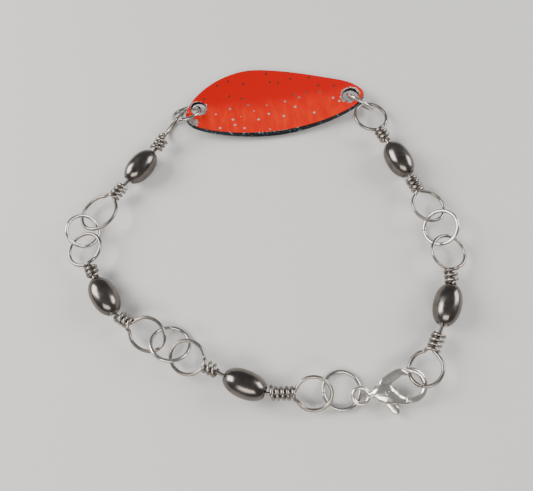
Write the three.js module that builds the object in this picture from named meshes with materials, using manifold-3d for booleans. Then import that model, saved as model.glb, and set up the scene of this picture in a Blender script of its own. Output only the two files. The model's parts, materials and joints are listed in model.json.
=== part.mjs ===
// A bracelet made from a fishing spoon: an enamelled spoon blade joined end to end by wire-wrapped bead
// links, jump rings and a lobster clasp. It lies closed on a table. Millimetres, +Z up.
import * as THREE from "three";
import { mergeVertices } from "three/addons/utils/BufferGeometryUtils.js";
import Module from "manifold-3d";

const wasm = await Module();
wasm.setup();

// Spoon blade
const bladeThickness = 0.8;
const bladeBendX = 75; // radius of the dish along the blade
const bladeBendY = 28; // and across it
const bladeMiddle = [-0.5, 1.4]; // lowest place of the dish is level with its Y
const bladeHoleRadius = 1.45;
const drillLength = 10;
const bladePlace = { x: 1.2, y: 26.7, heading: 7.8 };
const bladeHoles = { left: [-14.0, 1.4], right: [14.0, 0.15] };

// Wires
const linkWire = 0.6; // diameter of the links' wire
const ringWire = 0.64; // diameter of the jump rings' wire
const springWire = 0.16;
const wireSides = 6;

// Beads
const beadRadius = 2.15;
const beadLength = 6.6;
const beadFaceRadius = 1.25; // flat end of a bead
const beadBoreRadius = 0.35;
const neckReach = beadLength / 2 + 0.15; // the wire bends just outside the bead

// Wrapped loops
const wrapPitch = 0.8;
const wrapRadius = linkWire + 0.26; // centre of a wrap from the centre of the core
const wrapPointsPerTurn = 7;
const loopPoints = 14;
const loopOpening = 32; // half angle in degrees left open where the loop meets its stem
const shoulder = 0.3; // from the loop down to its first wrap
const crossingDrop = 0.08; // the wire crosses the stem this far below the loop
const tailLength = 0.75;

// Clasp, in its own frame: X from the tail eye to the nose, Y to the gate's side, Z through its thickness
const claspPlace = { x: 14.5, y: -24.4, z: 1.65, heading: 9.4, roll: 14 };
const claspWidth = 2.5;
const eyeRadius = 1.16; // centreline of the tail eye
const eyeWire = 0.7;
const hookCentre = [7.55, 0.4];
const hookRadius = 2.2; // centreline of the hook
const hookWire = 0.95;
const pivot = [3.75, 0.0];
const pinRadius = 0.34;
const hubRadius = 1.05;
const leverThickness = 1.1;
const slotWidth = 1.3;
const slotLength = 3.6;
const slotMiddle = 3.8;
const springSeat = { radius: 0.78, depth: 0.5 };
const spring = { radius: 0.58, start: 0.13, pitch: 0.2 };
const tipCut = { size: 2, x: 6.65, y: 1.72, turn: -40 }; // squares off the hook's tip
const runningGap = 0.06; // lever bore round the pin

// Each link: the bead's place and heading on the table, then the loop at each of its ends. A loop has its
// centre, half length along its stem, half width, roll about its stem in degrees and number of wraps.
const links = {
  a: {
    bead: [-22.45, 14.1],
    heading: -125,
    start: { centre: [-17.3, 22.7], half: [3.0, 2.2], roll: -56, wraps: 3.0 },
    end: { centre: [-28.8, 5.2], half: [3.3, 3.05], roll: 14, wraps: 3.2 },
  },
  b: {
    bead: [-26.0, -9.5],
    heading: -55,
    start: { centre: [-30.35, -1.5], half: [2.65, 3.0], roll: -14, wraps: 2.4 },
    end: { centre: [-18.4, -15.6], half: [3.0, 2.5], roll: 14, wraps: 2.9 },
  },
  c: {
    bead: [-2.8, -23.0],
    heading: -21.3,
    start: { centre: [-11.8, -19.1], half: [2.75, 2.55], roll: -14, wraps: 2.4 },
    end: { centre: [7.5, -24.2], half: [2.7, 2.55], roll: 24, wraps: 4.2 },
  },
  d: {
    bead: [28.5, -10.6],
    heading: 71.7,
    start: { centre: [24.3, -20.4], half: [2.7, 2.45], roll: 24, wraps: 3.6 },
    end: { centre: [29.65, -1.9], half: [2.8, 2.85], roll: 14, wraps: 2.6 },
  },
  e: {
    bead: [22.9, 15.2],
    heading: 115.1,
    start: { centre: [27.15, 6.3], half: [2.8, 2.8], roll: -14, wraps: 3.4 },
    end: { centre: [18.55, 24.0], half: [2.85, 2.85], roll: 10, wraps: 2.6 },
  },
};

// Jump rings: centre, centreline radius, the heading that the ring is turned about and its tilt in degrees,
// and the angle of its slit.
const rings = {
  spoon_left: { centre: [-15.16, 25.41, 1.74], radius: 2.6, heading: 21.4, tilt: -33.1, slit: 95 },
  ab: { centre: [-31.17, 1.85, 2.06], radius: 2.65, heading: -101, tilt: -40.6, slit: -75 },
  bc: { centre: [-14.7, -17.0, 1.76], radius: 3.0, heading: -32.5, tilt: -28.5, slit: 95 },
  clasp: { centre: [11.79, -23.56, 0.46], radius: 2.8, heading: 6.4, tilt: -1.6, slit: 190 },
  de: { centre: [28.82, 2.42, 2.06], radius: 2.8, heading: 101.4, tilt: -38, slit: 180 },
  spoon_right: { centre: [16.66, 26.8, 2.6], radius: 2.55, heading: -37, tilt: 118.8, slit: -60 },
};

const orange = new THREE.MeshStandardMaterial({ color: "#f23a1c", roughness: 0.2, metalness: 0.1 });
const gunmetal = new THREE.MeshStandardMaterial({ color: "#3c3836", roughness: 0.12, metalness: 1 });
const darkNickel = new THREE.MeshStandardMaterial({ color: "#8d8782", roughness: 0.3, metalness: 1 });
const steel = new THREE.MeshStandardMaterial({ color: "#b9b7b4", roughness: 0.25, metalness: 1 });
const chrome = new THREE.MeshStandardMaterial({ color: "#d8d4cd", roughness: 0.15, metalness: 1 });

const radians = THREE.MathUtils.degToRad;

// A path whose cross-sections stand at its own control points.
class WirePath extends THREE.CatmullRomCurve3 {
  getPointAt(u, target) {
    return this.getPoint(u, target);
  }
  getTangentAt(u, target) {
    return this.getTangent(u, target);
  }
  getSpacedPoints(divisions) {
    return this.getPoints(divisions);
  }
}

function wireThrough(points, diameter) {
  const section = new THREE.Shape();
  section.absarc(0, 0, diameter / 2, 0, 2 * Math.PI);
  return new THREE.ExtrudeGeometry(section, {
    curveSegments: wireSides / 2,
    steps: points.length - 1,
    extrudePath: new WirePath(points, false, "centripetal"),
  });
}

// A closed geometry as a solid that can be joined and cut.
function solidFrom(geometry) {
  const bare = geometry.clone();
  bare.deleteAttribute("normal");
  bare.deleteAttribute("uv");
  const merged = mergeVertices(bare, 1e-4);
  const solid = new wasm.Mesh({
    numProp: 3,
    vertProperties: merged.attributes.position.array,
    triVerts: new Uint32Array(merged.index.array),
  });
  return new wasm.Manifold(solid);
}

function geometryFrom(solid) {
  const { vertProperties, triVerts } = solid.getMesh();
  const geometry = new THREE.BufferGeometry();
  geometry.setAttribute("position", new THREE.BufferAttribute(vertProperties, 3));
  geometry.setIndex(new THREE.BufferAttribute(triVerts, 1));
  geometry.computeVertexNormals();
  return geometry;
}

function uprightCylinder(radius, height, segments) {
  return new THREE.CylinderGeometry(radius, radius, height, segments).rotateX(Math.PI / 2);
}

// The blade's outline, counter-clockwise from its left tip's lower side: broad on the left, long on the right.
function bladeOutline() {
  const corners = [
    [-15.6, -2.0],
    [-12.9, -3.4],
    [-7.0, -4.8],
    [-1.0, -5.3],
    [5.0, -5.1],
    [11.2, -3.7],
    [15.0, -1.9],
    [16.4, 0.1],
    [14.6, 2.6],
    [9.9, 4.8],
    [2.5, 7.5],
    [-4.0, 8.5],
    [-8.6, 7.7],
    [-12.4, 5.7],
    [-15.2, 2.8],
    [-16.4, -0.3],
  ];
  const points = corners.map(([x, y]) => new THREE.Vector3(x, y, 0));
  return new THREE.CatmullRomCurve3(points, true, "centripetal");
}

function bladeRise(x, y) {
  const across = y - bladeMiddle[1];
  return (x * x) / (2 * bladeBendX) + (across * across) / (2 * bladeBendY);
}

// A disc in rings, drawn out to the outline and dished.
function bladeGeometry() {
  const segments = 44;
  const outline = bladeOutline();
  const edge = outline.getSpacedPoints(segments);
  const middle = new THREE.Vector3(...bladeMiddle, 0);
  const reaches = [0, 0.35, 0.65, 0.88, 1];
  const underside = reaches.map((r) => new THREE.Vector2(r, 0));
  const top = reaches.toReversed().map((r) => new THREE.Vector2(r, bladeThickness));
  const disc = new THREE.LatheGeometry([...underside, ...top], segments);
  disc.rotateX(Math.PI / 2);
  const place = disc.attributes.position;
  const point = new THREE.Vector3();
  for (let i = 0; i < place.count; i++) {
    const reach = Math.hypot(place.getX(i), place.getY(i));
    const turn = Math.atan2(place.getY(i), place.getX(i)) / (2 * Math.PI);
    const spoke = Math.round((turn + 1) * segments) % segments;
    point.lerpVectors(middle, edge[spoke], Math.min(reach, 1));
    place.setXYZ(i, point.x, point.y, place.getZ(i) + bladeRise(point.x, point.y));
  }
  let blade = solidFrom(disc);
  for (const [x, y] of Object.values(bladeHoles)) {
    const drill = uprightCylinder(bladeHoleRadius, drillLength, 20).translate(x, y, 0);
    blade = blade.subtract(solidFrom(drill));
  }
  return geometryFrom(blade);
}

function spoonBlade() {
  const blade = new THREE.Mesh(bladeGeometry(), orange);
  blade.name = "spoon_blade";
  blade.position.set(bladePlace.x, bladePlace.y, 0);
  blade.rotation.z = radians(bladePlace.heading);
  return blade;
}

// An open ring in the XY plane, with its ends butted together at angle slit.
function jumpRing(name, { centre, radius, heading, tilt, slit }) {
  const steps = 20;
  const gap = 0.12 / radius;
  const points = [];
  for (let i = 0; i <= steps; i++) {
    const angle = radians(slit - heading) + gap / 2 + ((2 * Math.PI - gap) * i) / steps;
    points.push(new THREE.Vector3(radius * Math.cos(angle), radius * Math.sin(angle), 0));
  }
  const ring = new THREE.Mesh(wireThrough(points, ringWire), steel);
  ring.name = "jump_ring_" + name;
  ring.position.set(...centre);
  ring.rotation.set(radians(tilt), 0, radians(heading), "ZXY");
  return ring;
}

// One end of a link's wire in the stem's frame: X runs from the bead out to the loop. The core runs out,
// goes round the loop, crosses the core and winds back down it.
function loopEnd(reach, { half, wraps }) {
  const [halfLength, halfWidth] = half;
  const loopStart = reach - halfLength;
  const wrapStart = loopStart - shoulder;
  const openAngle = radians(loopOpening);
  const points = [
    new THREE.Vector3(0.1, 0, 0),
    new THREE.Vector3(wrapStart / 2, 0, 0),
    new THREE.Vector3(wrapStart - shoulder / 2, 0, 0),
  ];
  for (let i = 0; i <= loopPoints; i++) {
    const angle = openAngle + ((2 * Math.PI - 2 * openAngle) * i) / loopPoints;
    const lift = wrapRadius * Math.max(0, i / loopPoints - 0.75);
    const x = reach - halfLength * Math.cos(angle);
    points.push(new THREE.Vector3(x, halfWidth * Math.sin(angle), lift));
  }
  points.push(new THREE.Vector3(loopStart - crossingDrop, -0.95 * wrapRadius, 0.72 * wrapRadius));
  const turns = Math.round(wraps * wrapPointsPerTurn);
  for (let i = 0; i <= turns; i++) {
    const angle = (2 * Math.PI * i) / wrapPointsPerTurn;
    const x = wrapStart - (wrapPitch * i) / wrapPointsPerTurn;
    points.push(new THREE.Vector3(x, wrapRadius * Math.sin(angle), wrapRadius * Math.cos(angle)));
  }
  const lastAngle = (2 * Math.PI * turns) / wrapPointsPerTurn;
  const tail = points.at(-1).clone();
  tail.y += tailLength * Math.cos(lastAngle);
  tail.z -= tailLength * Math.sin(lastAngle);
  points.push(tail);
  return points;
}

// Carries a loop's points from its stem's frame to the link's frame, whose X runs along the bead.
function placeEnd(link, end, side) {
  const away = new THREE.Vector2(end.centre[0] - link.bead[0], end.centre[1] - link.bead[1]);
  away.rotateAround(new THREE.Vector2(), -radians(link.heading));
  const neck = new THREE.Vector2(side * neckReach, 0);
  const stem = away.clone().sub(neck);
  const turn = new THREE.Matrix4()
    .makeTranslation(neck.x, neck.y, 0)
    .multiply(new THREE.Matrix4().makeRotationZ(stem.angle()))
    .multiply(new THREE.Matrix4().makeRotationX(radians(end.roll)));
  return loopEnd(stem.length(), end).map((point) => point.applyMatrix4(turn));
}

function linkWirePath(link) {
  const first = placeEnd(link, link.start, -1).reverse();
  const last = placeEnd(link, link.end, 1);
  return [...first, new THREE.Vector3(0, 0, 0), ...last];
}

function beadGeometry() {
  const steps = 8;
  const halfLength = beadLength / 2;
  const profile = [new THREE.Vector2(beadBoreRadius, -halfLength)];
  for (let i = 0; i <= steps; i++) {
    const along = (2 * i) / steps - 1;
    const bulge = Math.pow(Math.cos((along * Math.PI) / 2), 0.8);
    const radius = beadFaceRadius + (beadRadius - beadFaceRadius) * bulge;
    profile.push(new THREE.Vector2(radius, along * halfLength));
  }
  profile.push(new THREE.Vector2(beadBoreRadius, halfLength));
  profile.push(profile[0].clone());
  return new THREE.LatheGeometry(profile, 14).rotateZ(-Math.PI / 2);
}

function wrappedLink(letter, link) {
  const group = new THREE.Group();
  const wire = new THREE.Mesh(wireThrough(linkWirePath(link), linkWire), darkNickel);
  wire.name = "link_wire_" + letter;
  const bead = new THREE.Mesh(beadGeometry(), gunmetal);
  bead.name = "bead_" + letter;
  group.add(wire, bead);
  group.position.set(link.bead[0], link.bead[1], beadRadius);
  group.rotation.z = radians(link.heading);
  return group;
}

// Points on an arc about a centre in the clasp's plane.
function arcPoints([x, y], radius, from, to, steps) {
  const points = [];
  for (let i = 0; i <= steps; i++) {
    const angle = radians(from + ((to - from) * i) / steps);
    points.push(new THREE.Vector3(x + radius * Math.cos(angle), y + radius * Math.sin(angle), 0));
  }
  return points;
}

// A flat outline made thick with rounded rims, centred on the clasp's plane.
function platedShape(points, thickness, bevel) {
  const outline = new THREE.Shape(points.map(([x, y]) => new THREE.Vector2(x, y)));
  const plate = new THREE.ExtrudeGeometry(outline, {
    depth: thickness - 2 * bevel,
    steps: 1,
    bevelEnabled: bevel > 0,
    bevelThickness: bevel,
    bevelSize: bevel,
    bevelOffset: -bevel,
    bevelSegments: 2,
  });
  return plate.translate(0, 0, bevel - thickness / 2);
}

function claspBody() {
  const shell = [
    [0.95, -0.55],
    [2.2, -1.45],
    [4.0, -2.0],
    [5.6, -2.15],
    [6.7, -2.1],
    [6.7, -1.15],
    [5.9, -0.75],
    [5.2, 0.3],
    [4.6, 1.35],
    [3.3, 1.55],
    [1.9, 1.0],
    [0.95, 0.55],
  ];
  const eye = wireThrough(arcPoints([0, 0], eyeRadius, 20, 340, 14), eyeWire);
  const hookWay = arcPoints(hookCentre, hookRadius, -128, 84, 14);
  const hook = wireThrough(hookWay, hookWire);
  const slotCut = new THREE.BoxGeometry(slotLength, 8, slotWidth).translate(slotMiddle, 0, 0);
  const pinHole = uprightCylinder(pinRadius + runningGap / 2, claspWidth + 1, 14);
  pinHole.translate(pivot[0], pivot[1], 0);
  const tip = new THREE.BoxGeometry(tipCut.size, tipCut.size, tipCut.size);
  tip.rotateZ(radians(tipCut.turn)).translate(tipCut.x, tipCut.y, 0);
  const solid = solidFrom(platedShape(shell, claspWidth, 0.4))
    .add(solidFrom(eye))
    .add(solidFrom(hook))
    .subtract(solidFrom(slotCut))
    .subtract(solidFrom(pinHole))
    .subtract(solidFrom(tip));
  const body = new THREE.Mesh(geometryFrom(solid), chrome);
  body.name = "clasp_body";
  return body;
}

function claspLever() {
  const arm = [
    [-0.6, 0.7],
    [0.5, 0.2],
    [3.1, 1.75],
    [3.75, 2.15],
    [3.45, 2.75],
    [2.6, 2.95],
    [1.0, 2.45],
    [-0.6, 1.6],
  ];
  const trigger = [
    [-0.9, -0.2],
    [-0.55, -2.3],
    [-0.1, -3.3],
    [0.8, -3.4],
    [1.1, -2.6],
    [0.9, -0.2],
  ];
  const seat = uprightCylinder(springSeat.radius, springSeat.depth + 1, 18);
  seat.translate(0, 0, leverThickness / 2 - springSeat.depth + (springSeat.depth + 1) / 2);
  const bore = uprightCylinder(pinRadius + runningGap, claspWidth, 14);
  const solid = solidFrom(platedShape(arm, leverThickness, 0.25))
    .add(solidFrom(platedShape(trigger, leverThickness, 0.25)))
    .add(solidFrom(uprightCylinder(hubRadius, leverThickness, 18)))
    .subtract(solidFrom(seat))
    .subtract(solidFrom(bore));
  const lever = new THREE.Mesh(geometryFrom(solid), chrome);
  lever.name = "clasp_lever";
  lever.position.set(pivot[0], pivot[1], 0);
  return lever;
}

function claspPin() {
  const pin = new THREE.Mesh(uprightCylinder(pinRadius, claspWidth - 0.1, 12), steel);
  pin.name = "clasp_pin";
  pin.position.set(pivot[0], pivot[1], 0);
  return pin;
}

// A torsion spring of two turns round the pin, sunk in the lever's hub.
function claspSpring() {
  const points = [];
  const turns = 2;
  const pointsPerTurn = 9;
  for (let i = 0; i <= turns * pointsPerTurn; i++) {
    const angle = (2 * Math.PI * i) / pointsPerTurn;
    const z = spring.start + (spring.pitch * i) / pointsPerTurn;
    points.push(new THREE.Vector3(spring.radius * Math.cos(angle), spring.radius * Math.sin(angle), z));
  }
  const coil = new THREE.Mesh(wireThrough(points, springWire), steel);
  coil.name = "clasp_spring";
  coil.position.set(pivot[0], pivot[1], 0);
  return coil;
}

function lobsterClasp() {
  const group = new THREE.Group();
  group.add(claspBody(), claspLever(), claspPin(), claspSpring());
  group.position.set(claspPlace.x, claspPlace.y, claspPlace.z);
  group.rotation.set(radians(claspPlace.roll), 0, radians(claspPlace.heading), "ZXY");
  return group;
}

const bracelet = new THREE.Group();
bracelet.add(spoonBlade());
for (const [name, ring] of Object.entries(rings)) {
  bracelet.add(jumpRing(name, ring));
}
for (const [letter, link] of Object.entries(links)) {
  bracelet.add(wrappedLink(letter, link));
}
bracelet.add(lobsterClasp());

// The frame's origin is the middle of the footprint, at the table.
const extent = new THREE.Box3().setFromObject(bracelet, true);
const middle = extent.getCenter(new THREE.Vector3());
bracelet.position.set(-middle.x, -middle.y, -extent.min.z);

export default bracelet;
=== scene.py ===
import json
from math import atan2, cos, hypot, pi, radians, sin

import bpy
from mathutils import Matrix, Vector, noise


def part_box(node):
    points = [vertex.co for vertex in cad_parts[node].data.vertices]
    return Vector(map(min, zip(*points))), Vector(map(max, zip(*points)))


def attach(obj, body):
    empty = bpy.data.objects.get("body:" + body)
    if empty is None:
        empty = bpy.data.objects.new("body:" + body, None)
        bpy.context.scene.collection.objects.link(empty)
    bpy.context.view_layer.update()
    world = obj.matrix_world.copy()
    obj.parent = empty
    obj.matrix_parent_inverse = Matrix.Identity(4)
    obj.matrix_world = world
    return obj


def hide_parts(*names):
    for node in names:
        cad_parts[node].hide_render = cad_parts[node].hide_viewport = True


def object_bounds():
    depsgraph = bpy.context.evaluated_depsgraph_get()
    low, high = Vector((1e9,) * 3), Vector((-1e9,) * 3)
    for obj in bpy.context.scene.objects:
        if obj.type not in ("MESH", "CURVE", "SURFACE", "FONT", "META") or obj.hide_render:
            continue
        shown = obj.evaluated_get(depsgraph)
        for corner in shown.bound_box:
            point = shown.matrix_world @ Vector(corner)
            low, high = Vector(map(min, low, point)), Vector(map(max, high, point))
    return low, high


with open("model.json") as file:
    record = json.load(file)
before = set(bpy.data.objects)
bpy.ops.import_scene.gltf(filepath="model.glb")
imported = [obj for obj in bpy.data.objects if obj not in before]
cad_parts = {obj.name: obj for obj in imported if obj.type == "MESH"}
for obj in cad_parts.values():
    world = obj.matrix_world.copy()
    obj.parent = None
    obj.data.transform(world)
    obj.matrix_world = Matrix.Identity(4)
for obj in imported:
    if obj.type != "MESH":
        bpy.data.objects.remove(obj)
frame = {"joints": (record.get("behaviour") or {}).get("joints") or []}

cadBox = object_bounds()
mm = 0.001
joints = {joint["name"]: joint for joint in frame["joints"]}


def jointPlace(name):
    return Vector(joints[name]["pos_m"])


def pickOnly(piece):
    bpy.ops.object.select_all(action="DESELECT")
    piece.select_set(True)
    bpy.context.view_layer.objects.active = piece


def applyAll(piece):
    pickOnly(piece)
    for modifier in list(piece.modifiers):
        bpy.ops.object.modifier_apply(modifier=modifier.name)


def moveMesh(piece, matrix):
    # the place goes in the mesh, the object stays at the origin
    piece.data.transform(matrix @ piece.matrix_world)
    piece.matrix_world = Matrix.Identity(4)


def handOver(piece, node, body):
    piece.name = node + "_fine"
    piece.data.name = piece.name
    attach(piece, body)
    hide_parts(node)


def smoothThrough(points, steps, closed=False):
    # a soft line through given points, closer together where the points are
    if closed:
        ends = [points[-1], *points, points[0], points[1]]
    else:
        ends = [2 * points[0] - points[1], *points, 2 * points[-1] - points[-2]]
    line = []
    for a, b, c, d in zip(ends, ends[1:], ends[2:], ends[3:]):
        ta = 0.0
        tb = ta + (b - a).length ** 0.5
        tc = tb + (c - b).length ** 0.5
        td = tc + (d - c).length ** 0.5
        for step in range(steps):
            t = tb + (tc - tb) * step / steps
            ab = a.lerp(b, (t - ta) / (tb - ta))
            bc = b.lerp(c, (t - tb) / (tc - tb))
            cd = c.lerp(d, (t - tc) / (td - tc))
            abc = ab.lerp(bc, (t - ta) / (tc - ta))
            bcd = bc.lerp(cd, (t - tb) / (td - tb))
            line.append(abc.lerp(bcd, (t - tb) / (tc - tb)))
    if not closed:
        line.append(points[-1].copy())
    return line


def sweepWire(path, thickness, sides=4, thickening=None):
    # a round wire bent along the path, its ends nipped flat; thickening swells it point by point
    bpy.ops.object.select_all(action="DESELECT")
    bpy.ops.curve.primitive_nurbs_path_add(location=(0, 0, 0))
    wire = bpy.context.object
    strand = wire.data.splines[0]
    strand.type = "POLY"
    strand.points.add(len(path) - len(strand.points))
    for index, place in enumerate(path):
        strand.points[index].co = (*place, 1)
        strand.points[index].radius = thickening[index] if thickening else 1
    wire.data.twist_mode = "MINIMUM"
    wire.data.bevel_depth = thickness / 2
    wire.data.bevel_resolution = sides
    wire.data.use_fill_caps = True
    bpy.ops.object.convert(target="MESH")
    wire = bpy.context.object
    bpy.ops.object.mode_set(mode="EDIT")
    bpy.ops.mesh.select_all(action="SELECT")
    bpy.ops.mesh.remove_doubles(threshold=0.001 * mm)
    bpy.ops.mesh.normals_make_consistent(inside=False)
    bpy.ops.object.mode_set(mode="OBJECT")
    return wire


def breakEdges(piece, width, segments, angle):
    # takes the sharpness off corners steeper than the angle
    edge = piece.modifiers.new("brokenEdge", "BEVEL")
    edge.width = width
    edge.segments = segments
    edge.limit_method = "ANGLE"
    edge.angle_limit = radians(angle)
    applyAll(piece)


def cutWith(piece, tool):
    # takes the tool's shape out of the piece and throws the tool away
    cut = piece.modifiers.new("cut", "BOOLEAN")
    cut.operation = "DIFFERENCE"
    cut.solver = "EXACT"
    cut.object = tool
    applyAll(piece)
    bpy.data.objects.remove(tool)


def shadeRound(piece, angle=35):
    pickOnly(piece)
    bpy.ops.object.shade_smooth_by_angle(angle=radians(angle))


def linearColour(hexCode, alpha=1.0):
    channels = [int(hexCode[i:i + 2], 16) / 255 for i in (1, 3, 5)]
    return (*[c / 12.92 if c <= 0.04045 else ((c + 0.055) / 1.055) ** 2.4 for c in channels], alpha)


def liveSocket(sockets, name):
    # a Mix node keeps one set of equally named sockets for each kind of data, and only one set is in use
    if isinstance(name, int):
        return sockets[name]
    return next(socket for socket in sockets if socket.name == name and socket.enabled)


def addNode(tree, kind, settings=None, links=None):
    # one node with its settings and what feeds it
    node = tree.nodes.new(kind)
    # properties first, because some of them change the sockets
    for name, value in (settings or {}).items():
        if isinstance(name, str) and hasattr(node, name):
            setattr(node, name, value)
    for name, value in (settings or {}).items():
        if not (isinstance(name, str) and hasattr(node, name)):
            liveSocket(node.inputs, name).default_value = value
    for name, source in (links or {}).items():
        tree.links.new(source, liveSocket(node.inputs, name))
    return node


def newMaterial(name):
    material = bpy.data.materials.new(name)
    material.use_nodes = True
    tree = material.node_tree
    surface = tree.nodes["Principled BSDF"]
    place = addNode(tree, "ShaderNodeTexCoord").outputs["Object"]
    return material, tree, surface, place


def ramp(tree, source, stops):
    node = addNode(tree, "ShaderNodeValToRGB", links={"Fac": source})
    band = node.color_ramp
    while len(band.elements) < len(stops):
        band.elements.new(0.5)
    for element, (position, value) in zip(band.elements, stops):
        element.position = position
        element.color = linearColour(value) if isinstance(value, str) else (value, value, value, 1)
    return node.outputs["Color"]


def gunmetalPlate():
    # dark grey-brown plating with soft-edged reflections, a few hairlines and cloudy patches
    material, tree, surface, place = newMaterial("polishedGunmetalPlating")
    cloud = addNode(tree, "ShaderNodeTexNoise", {"Scale": 1 / (1.6 * mm), "Detail": 4, "Roughness": 0.6},
                    {"Vector": place})
    colour = ramp(tree, cloud.outputs["Fac"], [(0.3, "#5f5955"), (0.7, "#77716c")])
    hairStretch = addNode(tree, "ShaderNodeMapping",
                          {"Scale": (1 / (1.5 * mm), 1 / (0.06 * mm), 1 / (1.1 * mm)),
                           "Rotation": (0.3, 0.2, 0.7)},
                          {"Vector": place})
    hair = addNode(tree, "ShaderNodeTexNoise", {"Scale": 1.0, "Detail": 2},
                   {"Vector": hairStretch.outputs["Vector"]})
    rough = addNode(tree, "ShaderNodeMapRange",
                    {"From Min": 0.35, "From Max": 0.75, "To Min": 0.18, "To Max": 0.3},
                    {"Value": cloud.outputs["Fac"]})
    bump = addNode(tree, "ShaderNodeBump", {"Strength": 0.08, "Distance": 0.01 * mm},
                   {"Height": hair.outputs["Fac"]})
    tree.links.new(colour, surface.inputs["Base Color"])
    tree.links.new(rough.outputs["Result"], surface.inputs["Roughness"])
    tree.links.new(bump.outputs["Normal"], surface.inputs["Normal"])
    surface.inputs["Metallic"].default_value = 1
    return material


def drawnWire(name, dark, light, roughLow, roughHigh):
    # plated drawn wire: faint draw lines, plier nicks, plating that has gone cloudy in places
    material, tree, surface, place = newMaterial(name)
    cloud = addNode(tree, "ShaderNodeTexNoise", {"Scale": 1 / (2.2 * mm), "Detail": 5, "Roughness": 0.65},
                    {"Vector": place})
    fine = addNode(tree, "ShaderNodeTexNoise", {"Scale": 1 / (0.12 * mm), "Detail": 3}, {"Vector": place})
    nick = addNode(tree, "ShaderNodeTexVoronoi", {"Scale": 1 / (0.9 * mm), "Randomness": 1.0},
                   {"Vector": place})
    nickDepth = ramp(tree, nick.outputs["Distance"], [(0.0, 0.0), (0.16, 1.0)])
    colour = ramp(tree, cloud.outputs["Fac"], [(0.34, dark), (0.66, light)])
    rough = addNode(tree, "ShaderNodeMapRange",
                    {"From Min": 0.3, "From Max": 0.7, "To Min": roughLow, "To Max": roughHigh},
                    {"Value": fine.outputs["Fac"]})
    scuff = addNode(tree, "ShaderNodeBump", {"Strength": 0.18, "Distance": 0.02 * mm},
                    {"Height": fine.outputs["Fac"]})
    bump = addNode(tree, "ShaderNodeBump", {"Strength": 0.35, "Distance": 0.02 * mm},
                   {"Height": nickDepth, "Normal": scuff.outputs["Normal"]})
    tree.links.new(colour, surface.inputs["Base Color"])
    tree.links.new(rough.outputs["Result"], surface.inputs["Roughness"])
    tree.links.new(bump.outputs["Normal"], surface.inputs["Normal"])
    surface.inputs["Metallic"].default_value = 1
    return material


print("finishes")
beadFinish = gunmetalPlate()
linkFinish = drawnWire("gunmetalPlatedWire", "#7d756f", "#a39c95", 0.22, 0.36)
ringFinish = drawnWire("nickelPlatedWire", "#a9a6a3", "#c9c6c2", 0.14, 0.26)
claspFinish = drawnWire("silverPlatedCasting", "#d6d0c6", "#ece7df", 0.16, 0.27)
springFinish = drawnWire("drawnSpringSteel", "#a6a5a4", "#c0bfbe", 0.2, 0.3)


bead = {
    "radius": 2.15 * mm,
    "length": 6.6 * mm,
    "ovalReach": 3.6 * mm,  # half length of the oval before its ends are cut flat
    "fullness": 2.25,  # 2 is a plain oval, more is fuller in the shoulders
    "bore": 0.36 * mm,
    "rim": 0.14 * mm,  # roll of the flat ends' edge
}


def makeBead():
    # an oval with its tips cut flat and a hole drilled through
    bpy.ops.object.select_all(action="DESELECT")
    bpy.ops.mesh.primitive_uv_sphere_add(segments=64, ring_count=48, radius=1, rotation=(0, pi / 2, 0),
                                         scale=(bead["radius"], bead["radius"], bead["ovalReach"]))
    piece = bpy.context.object
    bpy.ops.object.transform_apply(location=True, rotation=True, scale=True)
    half = bead["length"] / 2

    def shoulderRadius(x):
        return bead["radius"] * max(0, 1 - min(1, abs(x) / bead["ovalReach"]) ** bead["fullness"]) ** 0.5

    for vertex in piece.data.vertices:
        radius = hypot(vertex.co.y, vertex.co.z)
        if radius > 0.01 * mm:
            vertex.co.yz *= shoulderRadius(vertex.co.x) / radius
    bpy.ops.object.mode_set(mode="EDIT")
    for side in (-1, 1):
        bpy.ops.mesh.select_all(action="SELECT")
        bpy.ops.mesh.bisect(plane_co=(side * half, 0, 0), plane_no=(side, 0, 0), use_fill=True,
                            clear_outer=True)
    bpy.ops.mesh.select_all(action="SELECT")
    bpy.ops.mesh.normals_make_consistent(inside=False)
    bpy.ops.object.mode_set(mode="OBJECT")
    bpy.ops.object.select_all(action="DESELECT")
    bpy.ops.mesh.primitive_cylinder_add(vertices=48, radius=bead["bore"], depth=2 * bead["length"],
                                        rotation=(0, pi / 2, 0))
    cutWith(piece, bpy.context.object)
    breakEdges(piece, bead["rim"], 3, 30)
    shadeRound(piece, 50)
    return piece


wireThickness = 0.57 * mm
neckReach = 3.45 * mm  # where the wire leaves the bead
wrap = {
    "pitch": 0.8 * mm,
    "radius": 0.84 * mm,
    "perTurn": 7,  # points to a turn
    "tail": 0.75 * mm,  # cut end that sticks out past the last turn
    "shoulder": 0.3 * mm,  # between the loop and the first turn
}
loopOpening = radians(25)  # how far from the stem each side of the loop leaves it
loopSteps = 14

# each loop: stem from the bead's end to the loop's middle, bend off the bead's line, half length and width,
# roll about the stem, number of wraps
links = {
    "a": {"start": (6.59, 6.2, 3.0, 2.2, -56, 3.0), "end": (7.48, -0.7, 3.3, 3.05, 14, 3.2)},
    "b": {"start": (5.69, -10.4, 2.65, 3.0, -14, 2.4), "end": (6.51, 24.8, 3.0, 2.5, 14, 2.9)},
    "c": {"start": (6.36, -3.3, 2.75, 2.55, -14, 2.4), "end": (7.09, 21.7, 2.7, 2.55, 24, 4.2)},
    "d": {"start": (7.23, -7.2, 2.7, 2.45, 24, 3.6), "end": (5.42, 17.6, 2.8, 2.85, 14, 2.6)},
    "e": {"start": (6.41, 0.7, 2.8, 2.8, -14, 3.4), "end": (6.37, 1.9, 2.85, 2.85, 10, 2.6)},
}


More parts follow.
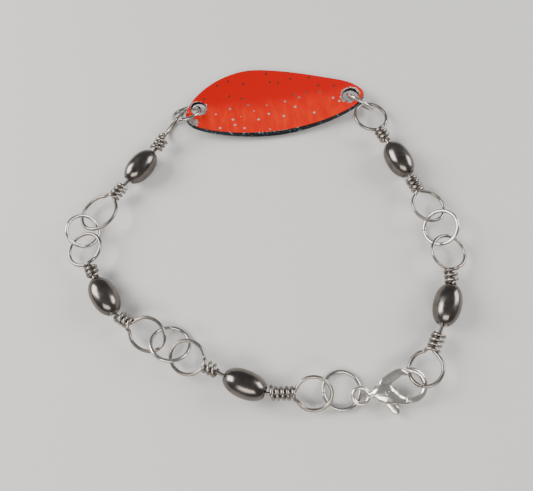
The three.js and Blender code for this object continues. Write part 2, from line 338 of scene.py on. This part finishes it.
def loopPoints(reach, halfLength, halfWidth, wraps):
    # the core runs out of the bead, round the loop, over itself and back down in wraps
    loopStart = reach - halfLength
    wrapStart = loopStart - wrap["shoulder"]
    points = [Vector((along, 0, 0)) for along in (0.1 * mm, wrapStart * 0.5, wrapStart - 0.15 * mm)]
    for step in range(loopSteps + 1):
        angle = loopOpening + (2 * pi - 2 * loopOpening) * step / loopSteps
        lift = wrap["radius"] * max(0, step / loopSteps - 0.75)  # the last quarter climbs over the stem
        points.append(Vector((reach - halfLength * cos(angle), halfWidth * sin(angle), lift)))
    points.append(Vector((loopStart - 0.08 * mm, -wrap["radius"] * 0.95, wrap["radius"] * 0.72)))
    turns = round(wraps * wrap["perTurn"])
    for step in range(turns + 1):
        angle = 2 * pi * step / wrap["perTurn"]
        along = wrapStart - wrap["pitch"] * step / wrap["perTurn"]
        points.append(Vector((along, wrap["radius"] * sin(angle), wrap["radius"] * cos(angle))))
    last = 2 * pi * turns / wrap["perTurn"]
    points.append(points[-1] + wrap["tail"] * Vector((0, cos(last), -sin(last))))
    return points


def placedLoop(loop, side):
    stem, bend, halfLength, halfWidth, roll, wraps = loop
    turn = radians(bend) if side > 0 else radians(bend) + pi
    place = (Matrix.Translation((side * neckReach, 0, 0)) @ Matrix.Rotation(turn, 4, "Z")
             @ Matrix.Rotation(radians(roll), 4, "X"))
    return [place @ point for point in loopPoints(stem * mm, halfLength * mm, halfWidth * mm, wraps)]


firstBead = makeBead()
for letter, link in links.items():
    spin = joints["bead_" + letter + "_spin"]
    heading = atan2(spin["axis"][1], spin["axis"][0])
    place = Matrix.Translation(spin["pos_m"]) @ Matrix.Rotation(heading, 4, "Z")
    path = [*reversed(placedLoop(link["start"], -1)), Vector((0, 0, 0)), *placedLoop(link["end"], 1)]
    wire = sweepWire(smoothThrough(path, 4), wireThickness)
    breakEdges(wire, 0.05 * mm, 2, 60)
    shadeRound(wire)
    moveMesh(wire, place)
    wire.data.materials.append(linkFinish)
    handOver(wire, "link_wire_" + letter, "link_" + letter)
    copy = firstBead.copy()
    copy.data = firstBead.data.copy()
    bpy.context.collection.objects.link(copy)
    moveMesh(copy, place)
    copy.data.materials.append(beadFinish)
    handOver(copy, "bead_" + letter, "bead_" + letter)
bpy.data.objects.remove(firstBead)
print("links laid")


ringThickness = 0.61 * mm
ringGap = 0.07 * mm
ringStep = 0.05 * mm  # how far the cut ends are out of line
# radius of the middle line, heading it is turned about, tilt, angle of the cut, body
rings = {
    "spoon_left": (2.6, 21.4, -33.1, 95, "ring_spoon_left"),
    "ab": (2.65, -101, -40.6, -75, "ring_ab"),
    "bc": (3.0, -32.5, -28.5, 95, "ring_bc"),
    "clasp": (2.8, 6.4, -1.6, 190, "ring_clasp"),
    "de": (2.8, 101.4, -38, 180, "ring_de"),
    "spoon_right": (2.55, -37, 118.8, -60, "ring_spoon_right"),
}


def makeRing(radius, heading, cut):
    # an open ring closed until its two cut ends meet, a hair out of line
    gap = ringGap / radius
    steps = 110
    path = []
    for step in range(steps + 1):
        angle = radians(cut - heading) + gap / 2 + (2 * pi - gap) * step / steps
        lift = ringStep * (step / steps - 0.5) ** 5 * 16
        path.append(Vector((radius * cos(angle), radius * sin(angle), lift)))
    ring = sweepWire(path, ringThickness, 5)
    breakEdges(ring, 0.04 * mm, 2, 60)
    shadeRound(ring)
    return ring


for name, (radius, heading, tilt, cut, body) in rings.items():
    low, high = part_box("jump_ring_" + name)
    ring = makeRing(radius * mm, heading, cut)
    moveMesh(ring, Matrix.Translation((low + high) / 2) @ Matrix.Rotation(radians(heading), 4, "Z")
             @ Matrix.Rotation(radians(tilt), 4, "X"))
    ring.data.materials.append(ringFinish)
    handOver(ring, "jump_ring_" + name, body)
print("jump rings closed")

blade = {
    "thickness": 0.8 * mm,
    "bendAlong": 75 * mm,
    "bendAcross": 28 * mm,
    "middle": Vector((-0.5, 1.4, 0)) * mm,
    "holes": (Vector((-14.0, 1.4, 0)) * mm, Vector((14.0, 0.15, 0)) * mm),
    "holeRadius": 1.45 * mm,
    "rimRoll": 0.1 * mm,
    "rimFlare": 0.42 * mm,  # how far the near edge leans outwards under the lacquered face
    # hammered waves over the near right part, fading out towards the far edge and the left, and fainter dents
    "ripple": {"depth": 0.022 * mm, "farEdge": 2.4, "farFade": 4, "leftEdge": -9, "leftFade": 8,
               "dents": 0.6},
    "faceUp": 0.88,  # faces that look up less than this are the dark edge and back
    "spokes": 256,
    "rounds": 30,
    # middle, reach and raggedness of each bare patch
    "chips": (((-14.0, 1.4, 0), 1.45, 1.1), ((14.0, 0.15, 0), 1.62, 1.9), ((-15.4, -1.8, 0), 1.05, 1.9)),
    "outline": ((-15.6, -2.0), (-12.9, -3.35), (-7, -4.6), (-1, -5.0), (5, -4.75), (11.2, -3.5), (15, -1.9),
                (16.4, 0.1), (14.6, 2.75), (9.9, 5.25), (2.5, 7.8), (-4, 8.75), (-8.6, 7.8), (-12.4, 5.7),
                (-15.2, 2.8), (-16.4, -0.3)),
}
leftHole = jointPlace("left_end_ring_swing")
rightHole = jointPlace("right_end_ring_swing")
holeGap = blade["holes"][1] - blade["holes"][0]
bladeHeading = atan2(rightHole.y - leftHole.y, rightHole.x - leftHole.x) - atan2(holeGap.y, holeGap.x)
bladeTurn = Matrix.Rotation(bladeHeading, 4, "Z")
bladeOrigin = leftHole - bladeTurn @ blade["holes"][0]
bladeOrigin.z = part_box("spoon_blade")[0][2]


def bladeRise(place):
    across = place.y - blade["middle"].y
    return place.x ** 2 / (2 * blade["bendAlong"]) + across ** 2 / (2 * blade["bendAcross"])


def evenPoints(line, count):
    # the closed line again, with its points equally far apart
    reach = [0.0]
    for a, b in zip(line, line[1:] + line[:1]):
        reach.append(reach[-1] + (b - a).length)
    even = []
    index = 0
    for step in range(count):
        wanted = reach[-1] * step / count
        while reach[index + 1] < wanted:
            index += 1
        part = (wanted - reach[index]) / (reach[index + 1] - reach[index])
        even.append(line[index].lerp(line[(index + 1) % len(line)], part))
    return even


def selectHoleRim(piece, place, radius):
    # the edges round a hole's two rims: both ends at its radius, and not running up its wall
    mesh = piece.data
    for vertex in mesh.vertices:
        vertex.select = False
    for face in mesh.polygons:
        face.select = False
    for edge in mesh.edges:
        ends = [mesh.vertices[i].co for i in edge.vertices]
        onWall = all(abs(hypot(e.x - place.x, e.y - place.y) - radius) < 0.02 * mm for e in ends)
        edge.select = onWall and abs(ends[0].z - ends[1].z) < 0.3 * (ends[0] - ends[1]).length + 1e-9


def clamped(value):
    return max(0, min(1, value))


def makeBlade():
    # the outline drawn in to its middle ring by ring, dished, thickened, its rim rolled and its holes punched
    spokes, rounds, ripple = blade["spokes"], blade["rounds"], blade["ripple"]
    corners = [Vector((x, y, 0)) * mm for x, y in blade["outline"]]
    outline = evenPoints(smoothThrough(corners, 24, closed=True), spokes)
    bpy.ops.object.select_all(action="DESELECT")
    bpy.ops.mesh.primitive_circle_add(vertices=spokes, radius=10 * mm)
    piece = bpy.context.object
    for vertex, place in zip(piece.data.vertices, outline):
        vertex.co = place
    bpy.ops.object.mode_set(mode="EDIT")
    bpy.ops.mesh.select_all(action="SELECT")
    for step in range(rounds):
        shrink = (rounds - step - 1) / (rounds - step) if step < rounds - 1 else 0.3  # a last small ring
        bpy.ops.mesh.extrude_edges_move()
        bpy.ops.transform.resize(value=(shrink, shrink, 1), center_override=blade["middle"])
    bpy.ops.mesh.edge_face_add()
    bpy.ops.mesh.select_all(action="SELECT")
    bpy.ops.mesh.normals_make_consistent(inside=False)
    bpy.ops.object.mode_set(mode="OBJECT")
    if piece.data.polygons[0].normal.z < 0:
        piece.data.flip_normals()
    for vertex in piece.data.vertices:
        place = vertex.co / mm
        near = clamped((ripple["farEdge"] - place.y) / ripple["farFade"])
        near *= clamped((place.x - ripple["leftEdge"]) / ripple["leftFade"])
        wave = noise.noise(Vector((place.x * 0.9 + place.y * 0.15, place.y * 0.28, 3.7)))
        dents = noise.noise(Vector((place.x * 0.35, place.y * 0.4, 9.1)))
        uneven = ripple["depth"] * (near * wave + ripple["dents"] * dents)
        vertex.co.z = bladeRise(vertex.co) + blade["thickness"] + uneven
    wall = piece.modifiers.new("wall", "SOLIDIFY")
    wall.thickness = blade["thickness"]
    wall.offset = -1
    faceVertices = len(piece.data.vertices)
    applyAll(piece)
    # the back's outline comes first after the face's vertices
    for vertex in piece.data.vertices[faceVertices:faceVertices + spokes]:
        outward = (vertex.co - blade["middle"]).xy.normalized()
        vertex.co.xy += blade["rimFlare"] * max(0, -outward.y) * outward
    breakEdges(piece, blade["rimRoll"], 4, 50)
    for hole in blade["holes"]:
        bpy.ops.object.select_all(action="DESELECT")
        bpy.ops.mesh.primitive_cylinder_add(vertices=72, radius=blade["holeRadius"], depth=8 * mm,
                                            location=hole)
        cutWith(piece, bpy.context.object)
    for hole in blade["holes"]:
        selectHoleRim(piece, hole, blade["holeRadius"])
        pickOnly(piece)
        bpy.ops.object.mode_set(mode="EDIT")
        bpy.ops.mesh.select_mode(type="EDGE")
        bpy.ops.mesh.bevel(offset=blade["rimRoll"], segments=3)
        bpy.ops.object.mode_set(mode="OBJECT")
    return piece


def flakedLacquer():
    # orange-red lacquer under a clear gloss coat, deep red on the far half, with a painted sheen that turns
    # the near half orange; flakes in it painted dark on the red and silver on the orange as painted
    # reflections; chipped to pink primer and bare nickel at the left tip and round the holes
    material, tree, surface, place = newMaterial("flakedOrangeLacquer")
    onBlade = addNode(tree, "ShaderNodeMapping",
                      {"vector_type": "TEXTURE", "Location": bladeOrigin, "Rotation": (0, 0, bladeHeading),
                       "Scale": (mm, mm, mm)},
                      {"Vector": place})
    split = addNode(tree, "ShaderNodeSeparateXYZ", links={"Vector": onBlade.outputs["Vector"]})
    flat = addNode(tree, "ShaderNodeCombineXYZ", links={"X": split.outputs["X"], "Y": split.outputs["Y"]})
    flat = flat.outputs["Vector"]
    # the border between the red half and the painted orange sheen of the near half wanders by about a
    # millimetre
    wander = addNode(tree, "ShaderNodeTexNoise", {"Scale": 0.32, "Detail": 3, "Roughness": 0.55},
                     {"Vector": flat})
    height = addNode(tree, "ShaderNodeMath", {"operation": "MULTIPLY_ADD", 1: 3.4},
                     {0: wander.outputs["Fac"], 2: split.outputs["Y"]})
    # far: 0 on the near half under the painted sheen, 1 on the plain red far half
    far = addNode(tree, "ShaderNodeMapRange",
                  {"From Min": 1.2, "From Max": 5.0, "interpolation_type": "SMOOTHSTEP"},
                  {"Value": height.outputs["Value"]})
    # painted light and shade: streaks painted lighter and darker across the near half where light falls on
    # the hammered waves
    streakStretch = addNode(tree, "ShaderNodeMapping", {"Scale": (0.85, 0.22, 1), "Rotation": (0, 0, 0.25)},
                            {"Vector": flat})
    streak = addNode(tree, "ShaderNodeTexNoise", {"Scale": 1.0, "Detail": 4, "Roughness": 0.55},
                     {"Vector": streakStretch.outputs["Vector"]})
    # painted sheen and painted shade: orange tones of the near half, lighter and darker along the wave
    # streaks
    nearSheenAndWaveShade = ramp(tree, streak.outputs["Fac"], [(0.3, "#c40e00"), (0.5, "#cc1c00"), (0.7, "#d63000")])
    # painted sheen: the near half's orange is light painted into the lacquer, mixed into the plain red of the
    # far half
    lacquerAndSheen = addNode(tree, "ShaderNodeMix", {"data_type": "RGBA", "B": linearColour("#b80000")},
                      {"Factor": far.outputs["Result"], "A": nearSheenAndWaveShade})
    # flakes up to 0.5 mm across, in cells of 2.4 mm of which some stay empty
    cells = addNode(tree, "ShaderNodeTexVoronoi",
                    {"voronoi_dimensions": "2D", "Scale": 1 / 2.4, "Randomness": 1.0},
                    {"Vector": flat})
    size = addNode(tree, "ShaderNodeSeparateColor", links={"Color": cells.outputs["Color"]})
    reachOut = addNode(tree, "ShaderNodeMapRange",
                       {"From Min": 0.2, "From Max": 0.5, "To Min": 0.0, "To Max": 0.1},
                       {"Value": size.outputs["Red"]})
    flake = addNode(tree, "ShaderNodeMath", {"operation": "LESS_THAN"},
                    {0: cells.outputs["Distance"], 1: reachOut.outputs["Result"]})
    # painted reflections: flakes painted silver where the near half catches light and dark brown on the far
    # half
    flakeReflection = addNode(tree, "ShaderNodeMix",
                          {"data_type": "RGBA", "A": linearColour("#ffe6dc"), "B": linearColour("#86503f")},
                          {"Factor": far.outputs["Result"]})
    flaked = addNode(tree, "ShaderNodeMix", {"data_type": "RGBA"},
                     {"Factor": flake.outputs["Value"], "A": liveSocket(lacquerAndSheen.outputs, "Result"),
                      "B": liveSocket(flakeReflection.outputs, "Result")})
    # chips: ragged patches reaching out from the holes' edges and over the left tip
    ragged = addNode(tree, "ShaderNodeTexNoise", {"Scale": 1.1, "Detail": 5, "Roughness": 0.7},
                     {"Vector": flat})
    chipped = None
    for middle, reach, raggedness in blade["chips"]:
        away = addNode(tree, "ShaderNodeVectorMath", {"operation": "DISTANCE", 1: middle}, {0: flat})
        rough = addNode(tree, "ShaderNodeMath", {"operation": "MULTIPLY_ADD", 1: -raggedness},
                        {0: ragged.outputs["Fac"], 2: away.outputs["Value"]})
        border = reach - raggedness / 2
        patch = addNode(tree, "ShaderNodeMapRange", {"From Min": border + 0.12, "From Max": border + 0.02},
                        {"Value": rough.outputs["Value"]})
        if chipped is None:
            chipped = patch.outputs["Result"]
        else:
            chipped = addNode(tree, "ShaderNodeMath", {"operation": "MAXIMUM"},
                              {0: chipped, 1: patch.outputs["Result"]}).outputs["Value"]
    grime = addNode(tree, "ShaderNodeTexNoise", {"Scale": 1.9, "Detail": 4, "Roughness": 0.6},
                    {"Vector": flat})
    bare = ramp(tree, grime.outputs["Fac"],
                [(0.36, "#8f6a5c"), (0.46, "#c7a79a"), (0.58, "#d9d8d8"), (0.7, "#9aa3a8")])
    colour = addNode(tree, "ShaderNodeMix", {"data_type": "RGBA"},
                     {"Factor": chipped, "A": liveSocket(flaked.outputs, "Result"), "B": bare})
    metal = addNode(tree, "ShaderNodeMath", {"operation": "MAXIMUM"}, {0: chipped, 1: flake.outputs["Value"]})
    metal = addNode(tree, "ShaderNodeMath", {"operation": "MULTIPLY", 1: 0.75}, {0: metal.outputs["Value"]})
    dust = addNode(tree, "ShaderNodeTexNoise", {"Scale": 3.0, "Detail": 5, "Roughness": 0.7},
                   {"Vector": flat})
    gloss = addNode(tree, "ShaderNodeMapRange",
                    {"From Min": 0.35, "From Max": 0.75, "To Min": 0.16, "To Max": 0.3},
                    {"Value": dust.outputs["Fac"]})
    step = addNode(tree, "ShaderNodeBump", {"Strength": 0.6, "Distance": 0.09 * mm, "invert": True},
                   {"Height": chipped})
    waves = addNode(tree, "ShaderNodeBump", {"Strength": 0.12, "Distance": 0.06 * mm},
                    {"Height": streak.outputs["Fac"], "Normal": step.outputs["Normal"]})
    tree.links.new(liveSocket(colour.outputs, "Result"), surface.inputs["Base Color"])
    tree.links.new(metal.outputs["Value"], surface.inputs["Metallic"])
    tree.links.new(gloss.outputs["Result"], surface.inputs["Roughness"])
    tree.links.new(waves.outputs["Normal"], surface.inputs["Normal"])
    surface.inputs["Specular IOR Level"].default_value = 0.2
    surface.inputs["Coat Weight"].default_value = 0.35
    surface.inputs["Coat Roughness"].default_value = 0.05
    return material


def darkFlake():
    # near-black lacquer full of fine teal flakes on the blade's edge and back
    material, tree, surface, place = newMaterial("darkFlakeLacquer")
    cells = addNode(tree, "ShaderNodeTexVoronoi", {"Scale": 1 / (0.28 * mm), "Randomness": 1.0},
                    {"Vector": place})
    tint = addNode(tree, "ShaderNodeSeparateColor", links={"Color": cells.outputs["Color"]})
    colour = ramp(tree, tint.outputs["Red"],
                  [(0.0, "#04060a"), (0.6, "#0a1216"), (0.84, "#15323c"), (0.96, "#6d8890")])
    metal = addNode(tree, "ShaderNodeMapRange",
                    {"From Min": 0.6, "From Max": 0.9, "To Min": 0.1, "To Max": 0.9},
                    {"Value": tint.outputs["Red"]})
    fleck = addNode(tree, "ShaderNodeBump", {"Strength": 0.35, "Distance": 0.03 * mm},
                    {"Height": tint.outputs["Green"]})
    tree.links.new(colour, surface.inputs["Base Color"])
    tree.links.new(metal.outputs["Result"], surface.inputs["Metallic"])
    tree.links.new(fleck.outputs["Normal"], surface.inputs["Normal"])
    surface.inputs["Roughness"].default_value = 0.34
    surface.inputs["Specular IOR Level"].default_value = 0.3
    surface.inputs["Coat Weight"].default_value = 0.15
    surface.inputs["Coat Roughness"].default_value = 0.12
    return material


bladePiece = makeBlade()
bladePiece.data.materials.append(flakedLacquer())
bladePiece.data.materials.append(darkFlake())
for face in bladePiece.data.polygons:
    face.material_index = 0 if face.normal.z > blade["faceUp"] else 1
shadeRound(bladePiece, 40)
moveMesh(bladePiece, Matrix.Translation(bladeOrigin) @ bladeTurn)
handOver(bladePiece, "spoon_blade", "spoon")
print("blade dished and punched")


# the clasp is drawn in its own plane: X from the tail eye to the nose, Y to the gate's side
clasp = {
    "heading": 9.4,
    "pivot": Vector((3.75, 0, 0)) * mm,
    "eye": {"radius": 1.19 * mm, "wire": 0.63 * mm},
    "hookMiddle": (7.55, 0.4),
    "slot": {"length": 3.2 * mm, "width": 1.3 * mm, "middle": 3.6 * mm},
    # half thickness of the body: even past the pin, then thinning towards the hook
    "cheeks": {"full": 1.25, "until": 4.5, "slope": 0.35, "least": 0.55},
    "lever": 1.1 * mm,  # thickness
    "hub": 1.0 * mm,
    # radius, depth and middle of a hole for the pin, and of a pocket on one side for the spring
    "bores": ((0.4, 4, 0), (0.72, 1, 0.53)),
    "pin": {"radius": 0.34 * mm, "length": 2.42 * mm},
    "spring": {"radius": 0.58 * mm, "wire": 0.16 * mm, "turns": 2, "start": 0.13 * mm, "pitch": 0.2 * mm,
               "perTurn": 24},
    "grain": 0.07 * mm,  # voxels that the cast parts are fused with
    "press": 2.2,  # more is flatter cheeks
    # x, y and half thickness along the body's middle line
    "spine": ((1.1, 0, 0.42), (1.7, -0.05, 0.74), (2.6, -0.1, 1.35), (3.7, -0.3, 1.65), (4.6, -0.85, 1.32),
              (5.4, -1.35, 0.92), (6.2, -1.65, 0.68), (7.0, -1.76, 0.58), (7.4, -1.76, 0.56)),
    # angle, reach and half thickness: the hook ends in a wedge that the gate's tip slides under
    "bend": ((-118, 2.16, 0.6), (-95, 2.17, 0.57), (-70, 2.18, 0.52), (-40, 2.19, 0.48), (-10, 2.2, 0.46),
             (20, 2.2, 0.46), (45, 2.2, 0.46), (65, 2.2, 0.47), (79, 2.24, 0.46), (88, 2.35, 0.36),
             (95, 2.47, 0.24), (99, 2.53, 0.14)),
    # the lever's two ends, from the pin
    "arm": ((0, 0.3, 0.85), (-0.1, 1.1, 0.86), (0.7, 1.72, 0.8), (1.7, 2.2, 0.74), (2.6, 2.48, 0.64),
            (3.0, 2.4, 0.5), (3.35, 2.2, 0.38), (3.6, 2.08, 0.28), (3.8, 2.0, 0.17)),
    "trigger": ((0, -0.3, 0.9), (0.2, -1.3, 0.82), (0.6, -2.2, 0.74), (1.0, -2.9, 0.68), (1.2, -3.25, 0.5),
                (1.28, -3.42, 0.15)),
}
leverAxis = Vector(joints["clasp_lever_swing"]["axis"])
claspX = Vector((cos(radians(clasp["heading"])), sin(radians(clasp["heading"])), 0))
claspY = leverAxis.cross(claspX)
claspPlace = Matrix([(*row, 0) for row in zip(claspX, claspY, leverAxis)] + [(0, 0, 0, 1)])
claspPlace.translation = jointPlace("clasp_lever_swing") - claspPlace @ clasp["pivot"]
leverPlace = claspPlace @ Matrix.Translation(clasp["pivot"])


def arc(middle, radius, start, end, steps):
    turns = [radians(start + (end - start) * i / steps) for i in range(steps + 1)]
    return [middle + radius * Vector((cos(t), sin(t), 0)) for t in turns]


def swelling(spine, steps=6):
    # spine: x, y and half thickness at each point, in mm; the sweep swells and thins smoothly between them
    line = smoothThrough([Vector((x, y, r)) for x, y, r in spine], steps)
    path = [Vector((p.x, p.y, 0)) * mm for p in line]
    return sweepWire(path, 2 * mm, 7, [max(p.z, 0.05) for p in line])


def flatten(piece, halfThickness):
    # presses the cast part down to its real thickness, with round cheeks
    for vertex in piece.data.vertices:
        limit = halfThickness(vertex.co.x / mm) * mm
        vertex.co.z = limit * (2 / (1 + 2.718 ** (-clasp["press"] * vertex.co.z / limit)) - 1)


def fuse(pieces, rounds):
    # joins overlapping parts into one skin and eases the seams, as casting and tumbling do
    bpy.ops.object.select_all(action="DESELECT")
    for piece in pieces:
        piece.select_set(True)
    bpy.context.view_layer.objects.active = pieces[0]
    bpy.ops.object.join()
    piece = bpy.context.object
    piece.data.remesh_voxel_size = clasp["grain"]
    bpy.ops.object.voxel_remesh()
    ease = piece.modifiers.new("tumbled", "SMOOTH")
    ease.factor = 0.5
    ease.iterations = rounds
    applyAll(piece)
    return piece


def bodyHalfThickness(x):
    cheeks = clasp["cheeks"]
    if x < cheeks["until"]:
        return cheeks["full"]
    return max(cheeks["least"], cheeks["full"] - cheeks["slope"] * (x - cheeks["until"]))


def makeClaspBody():
    eye, slot, middle = clasp["eye"], clasp["slot"], clasp["hookMiddle"]
    body = swelling(clasp["spine"])
    flatten(body, bodyHalfThickness)
    hookPiece = swelling([
        (middle[0] + reach * cos(radians(turn)), middle[1] + reach * sin(radians(turn)), half)
        for turn, reach, half in clasp["bend"]])
    eyePiece = sweepWire(arc(Vector((0, 0, 0)), eye["radius"], 14, 346, 60), eye["wire"], 6)
    piece = fuse([body, hookPiece, eyePiece], 6)
    bpy.ops.object.select_all(action="DESELECT")
    bpy.ops.mesh.primitive_cube_add(size=1, location=(slot["middle"], 0.4 * mm, 0),
                                    scale=(slot["length"], 8 * mm, slot["width"]))
    cutWith(piece, bpy.context.object)
    breakEdges(piece, 0.05 * mm, 2, 50)
    return piece


def makeLever():
    arm = swelling(clasp["arm"])
    trigger = swelling(clasp["trigger"])
    bpy.ops.object.select_all(action="DESELECT")
    bpy.ops.mesh.primitive_cylinder_add(vertices=64, radius=clasp["hub"], depth=clasp["lever"])
    hub = bpy.context.object
    for part in (arm, trigger):
        flatten(part, lambda x: clasp["lever"] / 2 / mm)
    piece = fuse([arm, trigger, hub], 5)
    for radius, depth, middle in clasp["bores"]:
        bpy.ops.object.select_all(action="DESELECT")
        bpy.ops.mesh.primitive_cylinder_add(vertices=48, radius=radius * mm, depth=depth * mm,
                                            location=(0, 0, middle * mm))
        cutWith(piece, bpy.context.object)
    return piece


claspBody = makeClaspBody()
claspLever = makeLever()
bpy.ops.object.select_all(action="DESELECT")
bpy.ops.mesh.primitive_cylinder_add(vertices=48, radius=clasp["pin"]["radius"],
                                    depth=clasp["pin"]["length"], location=clasp["pivot"])
claspPin = bpy.context.object
bpy.ops.object.transform_apply(location=True, rotation=True, scale=True)
breakEdges(claspPin, 0.1 * mm, 4, 40)
coil = clasp["spring"]
springPath = []
for step in range(coil["turns"] * coil["perTurn"] + 1):
    turns = step / coil["perTurn"]
    springPath.append(clasp["pivot"] + Vector((coil["radius"] * cos(2 * pi * turns),
                                               coil["radius"] * sin(2 * pi * turns),
                                               coil["start"] + coil["pitch"] * turns)))
claspSpring = sweepWire(springPath, coil["wire"], 3)
for piece, node, body, slotName, finish, place in (
        (claspBody, "clasp_body", "clasp", "clasp", claspFinish, claspPlace),
        (claspLever, "clasp_lever", "lever", "clasp", claspFinish, leverPlace),
        (claspPin, "clasp_pin", "clasp", "clasp_steel", springFinish, claspPlace),
        (claspSpring, "clasp_spring", "clasp", "clasp_steel", springFinish, claspPlace)):
    piece.data.materials.clear()
    piece.data.materials.append(finish)
    moveMesh(piece, place)
    shadeRound(piece, 50)
    handOver(piece, node, body)
print("clasp cast and pinned")

view = {"lookAt": Vector((0.399, -3.852, 0)) * mm, "distance": 85 * mm, "tilt": 20.06, "lean": 2.41,
        "turn": 0.88, "lens": 33.8}

bpy.ops.object.select_all(action="DESELECT")
bpy.ops.mesh.primitive_plane_add(size=6, location=(0, 0, cadBox[0][2] - 0.02 * mm))
floor = bpy.context.object
floor.name = "floor"
paper = bpy.data.materials.new("palePaper")
paper.use_nodes = True
paper.node_tree.nodes["Principled BSDF"].inputs["Base Color"].default_value = linearColour("#d4d2cf")
paper.node_tree.nodes["Principled BSDF"].inputs["Roughness"].default_value = 0.85
floor.data.materials.append(paper)

world = bpy.data.worlds.new("studio")
bpy.context.scene.world = world
world.use_nodes = True
world.node_tree.nodes["Background"].inputs["Color"].default_value = linearColour("#e8ebee")
world.node_tree.nodes["Background"].inputs["Strength"].default_value = 0.34


def softLight(name, place, size, power, colour):
    bpy.ops.object.light_add(type="AREA", location=place)
    lamp = bpy.context.object
    lamp.name = name
    lamp.data.shape = "RECTANGLE"
    lamp.data.size, lamp.data.size_y = size
    lamp.data.energy = power
    lamp.data.color = linearColour(colour)[:3]
    lamp.rotation_euler = (-Vector(place)).to_track_quat("-Z", "Y").to_euler()


softLight("keyLight", (-0.3, 0.06, 0.2), (0.22, 0.2), 1.9, "#ffffff")
softLight("sideLight", (0.3, 0.1, 0.16), (0.2, 0.16), 1.0, "#fbfcff")
softLight("frontLight", (-0.03, -0.27, 0.26), (0.3, 0.14), 0.9, "#fff8f0")

turned = (Matrix.Rotation(radians(view["turn"]), 4, "Z") @ Matrix.Rotation(radians(view["lean"]), 4, "Y")
          @ Matrix.Rotation(radians(view["tilt"]), 4, "X"))
bpy.ops.object.camera_add()
camera = bpy.context.object
camera.matrix_world = (Matrix.Translation(view["lookAt"]) @ turned
                       @ Matrix.Translation((0, 0, view["distance"])))
camera.data.lens = view["lens"]
camera.data.clip_start = 1 * mm
bpy.context.scene.camera = camera
print("stage set")
